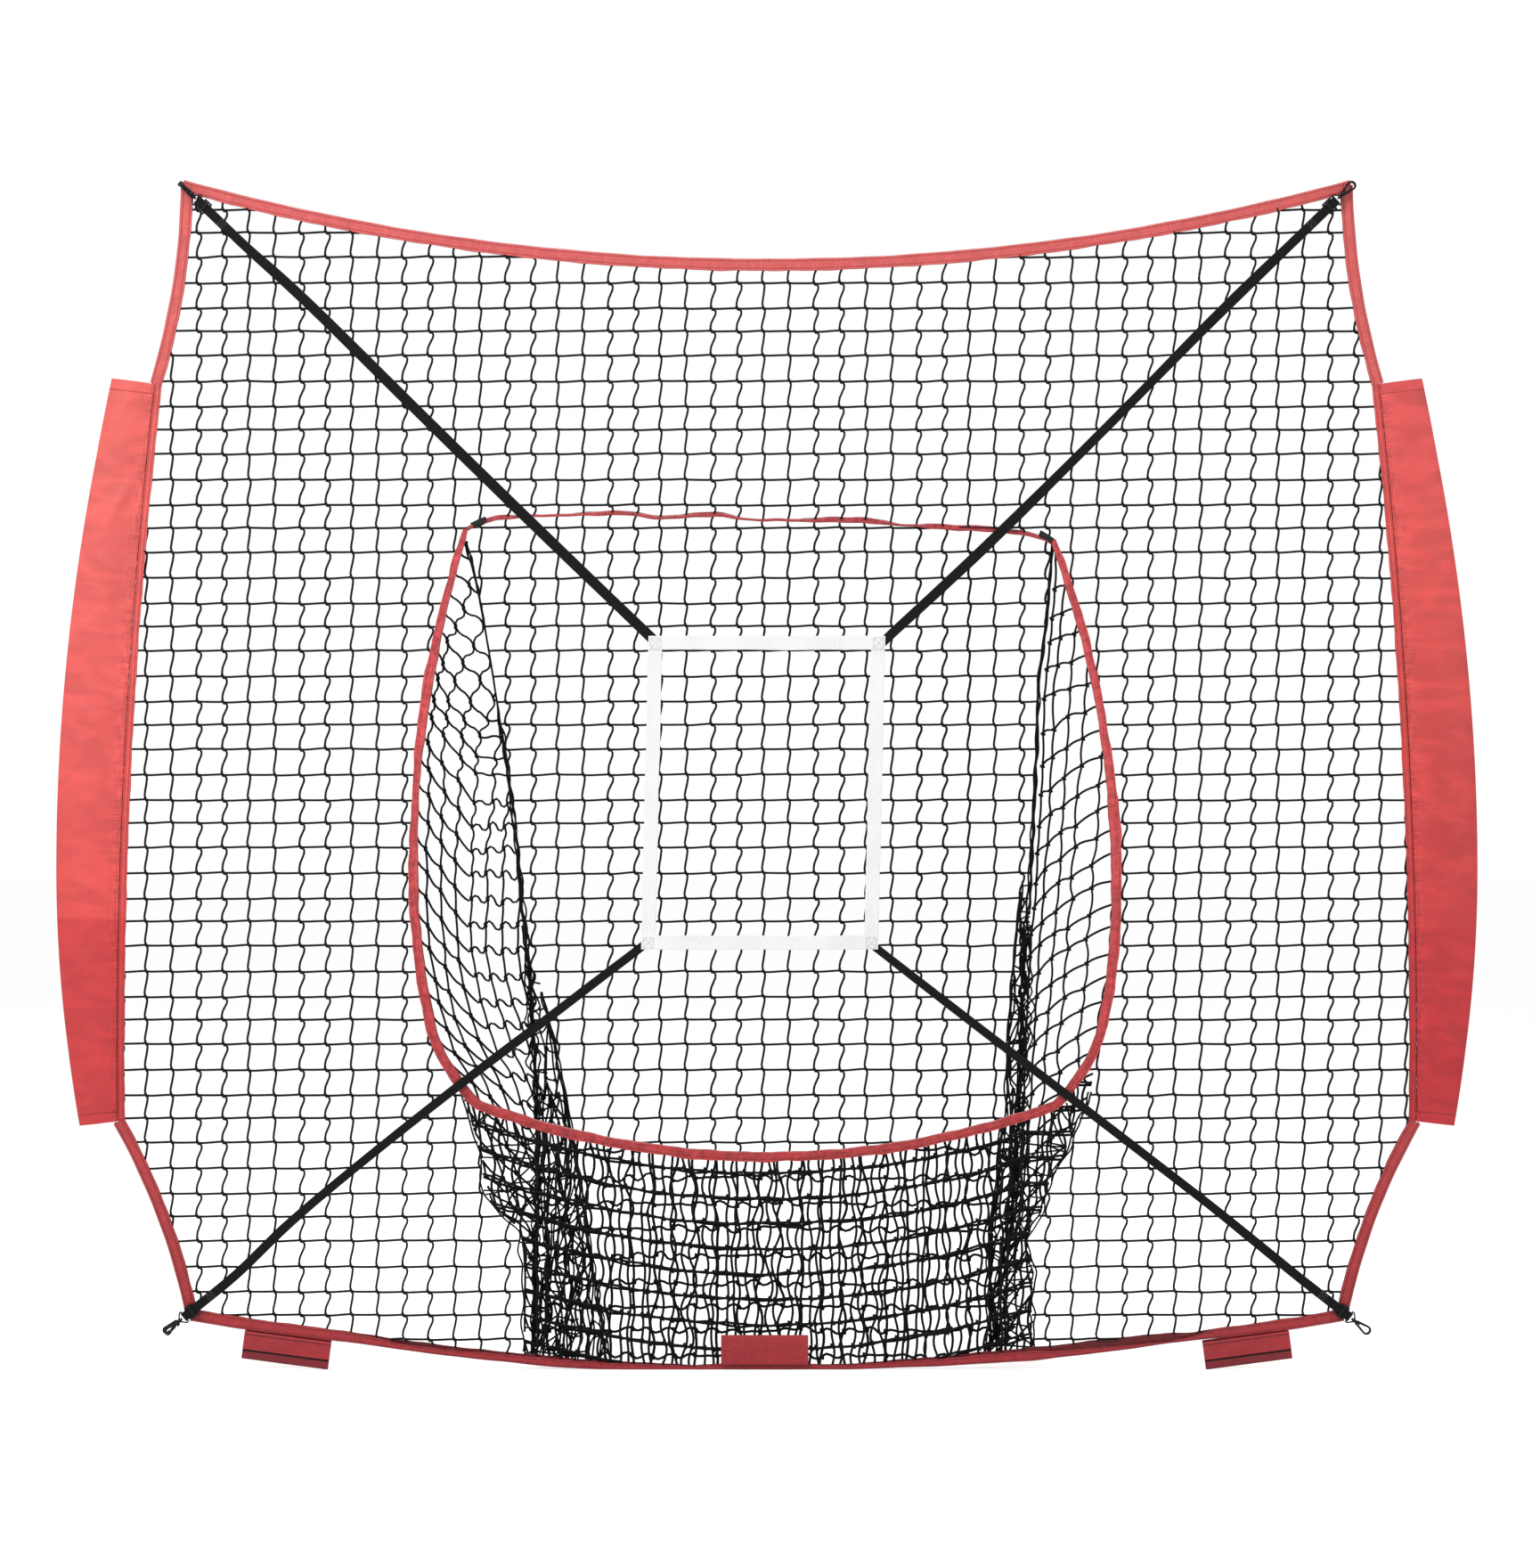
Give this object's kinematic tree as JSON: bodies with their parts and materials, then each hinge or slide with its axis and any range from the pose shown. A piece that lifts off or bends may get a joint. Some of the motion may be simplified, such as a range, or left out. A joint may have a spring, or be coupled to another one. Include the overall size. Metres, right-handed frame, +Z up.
{
  "type": "pitching target net",
  "caption": "Square-mesh practice net with a red fabric edge, pole sleeves and base loops, a ball pocket behind its mouth, and a white strike target on strap hooks.",
  "frame": {"origin": "middle of the net's lower edge, in the plane of the net", "axes": "+Z up, -Y towards the pitcher, +X to the right as the pitcher sees it"},
  "size_m": [2.5594, 0.2061, 2.1444],
  "materials": {
    "net_twine": "matte, slightly fuzzy twisted twine",
    "pocket_twine": "matte, slightly fuzzy twisted twine",
    "black_tape": "matte",
    "white_webbing": "matte woven webbing",
    "black_webbing": "woven webbing with a slight sheen",
    "black_plastic": "satin moulded",
    "black_metal": "satin black coating",
    "pin_steel": "brushed",
    "hook_tape": "hook-and-loop pile",
    "red_fabric": "coated woven polyester with a soft sheen"
  },
  "bodies": {
    "net": {"front_net": "net_twine", "pocket_back": "net_twine", "left_pocket_seam": "pocket_twine", "right_pocket_seam": "pocket_twine", "left_pocket_side": "pocket_twine", "right_pocket_side": "pocket_twine", "mouth_binding": "red_fabric", "mouth_top_ribbon": "red_fabric", "left_mouth_wrap": "black_tape", "right_mouth_wrap": "black_tape", "top_hem": "red_fabric", "bottom_hem": "red_fabric", "left_upper_hem": "red_fabric", "right_upper_hem": "red_fabric", "left_lower_hem": "red_fabric", "right_lower_hem": "red_fabric", "left_sleeve_seam": "red_fabric", "right_sleeve_seam": "red_fabric", "left_pole_sleeve": "red_fabric", "right_pole_sleeve": "red_fabric"},
    "target": {"target_left": "white_webbing", "target_right": "white_webbing", "target_top": "white_webbing", "target_bottom": "white_webbing", "upper_left_strap": "black_webbing", "upper_right_strap": "black_webbing", "lower_left_strap": "black_webbing", "lower_right_strap": "black_webbing"},
    "upper_left_slider": {"upper_left_slider": "black_plastic"},
    "upper_left_eye": {"upper_left_eye": "black_metal"},
    "upper_left_hook": {"upper_left_hook": "black_metal", "upper_left_gate_pin": "pin_steel"},
    "upper_left_gate": {"upper_left_gate": "black_metal"},
    "upper_right_slider": {"upper_right_slider": "black_plastic"},
    "upper_right_eye": {"upper_right_eye": "black_metal"},
    "upper_right_hook": {"upper_right_hook": "black_metal", "upper_right_gate_pin": "pin_steel"},
    "upper_right_gate": {"upper_right_gate": "black_metal"},
    "lower_left_slider": {"lower_left_slider": "black_plastic"},
    "lower_left_eye": {"lower_left_eye": "black_metal"},
    "lower_left_hook": {"lower_left_hook": "black_metal", "lower_left_gate_pin": "pin_steel"},
    "lower_left_gate": {"lower_left_gate": "black_metal"},
    "lower_right_slider": {"lower_right_slider": "black_plastic"},
    "lower_right_eye": {"lower_right_eye": "black_metal"},
    "lower_right_hook": {"lower_right_hook": "black_metal", "lower_right_gate_pin": "pin_steel"},
    "lower_right_gate": {"lower_right_gate": "black_metal"},
    "left_loop": {"left_base_loop": "red_fabric"},
    "left_flap": {"left_loop_flap": "red_fabric", "left_loop_strip": "hook_tape"},
    "right_loop": {"right_base_loop": "red_fabric"},
    "right_flap": {"right_loop_flap": "red_fabric", "right_loop_strip": "hook_tape"},
    "middle_loop": {"middle_base_loop": "red_fabric", "middle_loop_flap": "red_fabric", "middle_loop_strip": "hook_tape"}
  },
  "joints": [
    {"name": "target_lift_off", "type": "slide", "parent": "net", "child": "target", "axis": [0, -1, 0], "range_m": [0, 0.3]},
    {"name": "upper_left_slider_slide", "type": "slide", "parent": "target", "child": "upper_left_slider", "axis": [0.7194, 0, -0.6946], "range_m": [0, 0.018]},
    {"name": "upper_left_eye_pivot", "type": "hinge", "parent": "target", "child": "upper_left_eye", "pos_m": [-1.024, -0.01155, 2.104], "axis": [0.6946, 0, 0.7194], "range_deg": [0, 75]},
    {"name": "upper_left_hook_swivel", "type": "hinge", "parent": "upper_left_eye", "child": "upper_left_hook", "pos_m": [-1.03163, -0.01155, 2.11136], "axis": [-0.7194, 0, 0.6946], "continuous": true},
    {"name": "upper_left_gate_hinge", "type": "hinge", "parent": "upper_left_hook", "child": "upper_left_gate", "pos_m": [-1.03724, -0.01345, 2.11678], "axis": [-0.6946, 0, -0.7194], "range_deg": [0, 20], "stiffness_Nm_per_rad": 0.02, "springref_deg": -11.46},
    {"name": "upper_right_slider_slide", "type": "slide", "parent": "target", "child": "upper_right_slider", "axis": [-0.7194, 0, -0.6946], "range_m": [0, 0.018]},
    {"name": "upper_right_eye_pivot", "type": "hinge", "parent": "target", "child": "upper_right_eye", "pos_m": [1.024, -0.01155, 2.104], "axis": [0.6946, 0, -0.7194], "range_deg": [0, 75]},
    {"name": "upper_right_hook_swivel", "type": "hinge", "parent": "upper_right_eye", "child": "upper_right_hook", "pos_m": [1.03163, -0.01155, 2.11136], "axis": [0.7194, 0, 0.6946], "continuous": true},
    {"name": "upper_right_gate_hinge", "type": "hinge", "parent": "upper_right_hook", "child": "upper_right_gate", "pos_m": [1.03592, -0.01155, 2.11815], "axis": [0, 1, 0], "range_deg": [0, 20], "stiffness_Nm_per_rad": 0.02, "springref_deg": -11.46},
    {"name": "lower_left_slider_slide", "type": "slide", "parent": "target", "child": "lower_left_slider", "axis": [0.7793, 0, 0.6267], "range_m": [0, 0.018]},
    {"name": "lower_left_eye_pivot", "type": "hinge", "parent": "target", "child": "lower_left_eye", "pos_m": [-1.048, -0.01155, 0.096], "axis": [-0.6267, 0, 0.7793], "range_deg": [0, 75]},
    {"name": "lower_left_hook_swivel", "type": "hinge", "parent": "lower_left_eye", "child": "lower_left_hook", "pos_m": [-1.05626, -0.01155, 0.08936], "axis": [-0.7793, 0, -0.6267], "continuous": true},
    {"name": "lower_left_gate_hinge", "type": "hinge", "parent": "lower_left_hook", "child": "lower_left_gate", "pos_m": [-1.0615, -0.01289, 0.08342], "axis": [0.4431, 0.7071, -0.551], "range_deg": [0, 20], "stiffness_Nm_per_rad": 0.02, "springref_deg": -11.46},
    {"name": "lower_right_slider_slide", "type": "slide", "parent": "target", "child": "lower_right_slider", "axis": [-0.7887, 0, 0.6148], "range_m": [0, 0.018]},
    {"name": "lower_right_eye_pivot", "type": "hinge", "parent": "target", "child": "lower_right_eye", "pos_m": [1.048, -0.01155, 0.096], "axis": [-0.6148, 0, -0.7887], "range_deg": [0, 75]},
    {"name": "lower_right_hook_swivel", "type": "hinge", "parent": "lower_right_eye", "child": "lower_right_hook", "pos_m": [1.05636, -0.01155, 0.08948], "axis": [0.7887, 0, -0.6148], "continuous": true},
    {"name": "lower_right_gate_hinge", "type": "hinge", "parent": "lower_right_hook", "child": "lower_right_gate", "pos_m": [1.06134, -0.01155, 0.08319], "axis": [0, -1, 0], "range_deg": [0, 20], "stiffness_Nm_per_rad": 0.02, "springref_deg": -11.46},
    {"name": "left_loop_swing", "type": "hinge", "parent": "net", "child": "left_loop", "pos_m": [-0.862, -0.0051, 0.064], "axis": [-0.9914, 0, 0.1305], "range_deg": [0, 165]},
    {"name": "left_flap_hinge", "type": "hinge", "parent": "left_loop", "child": "left_flap", "pos_m": [-0.862, -0.00555, 0.064], "axis": [-0.9914, 0, 0.1305], "range_deg": [0, 150]},
    {"name": "right_loop_swing", "type": "hinge", "parent": "net", "child": "right_loop", "pos_m": [0.862, -0.0051, 0.064], "axis": [-0.9914, 0, -0.1305], "range_deg": [0, 165]},
    {"name": "right_flap_hinge", "type": "hinge", "parent": "right_loop", "child": "right_flap", "pos_m": [0.862, -0.00555, 0.064], "axis": [-0.9914, 0, -0.1305], "range_deg": [0, 150]},
    {"name": "middle_loop_swing", "type": "hinge", "parent": "net", "child": "middle_loop", "pos_m": [-0.004, -0.0088, 0.008], "axis": [1, 0, 0], "range_deg": [0, 165]}
  ]
}
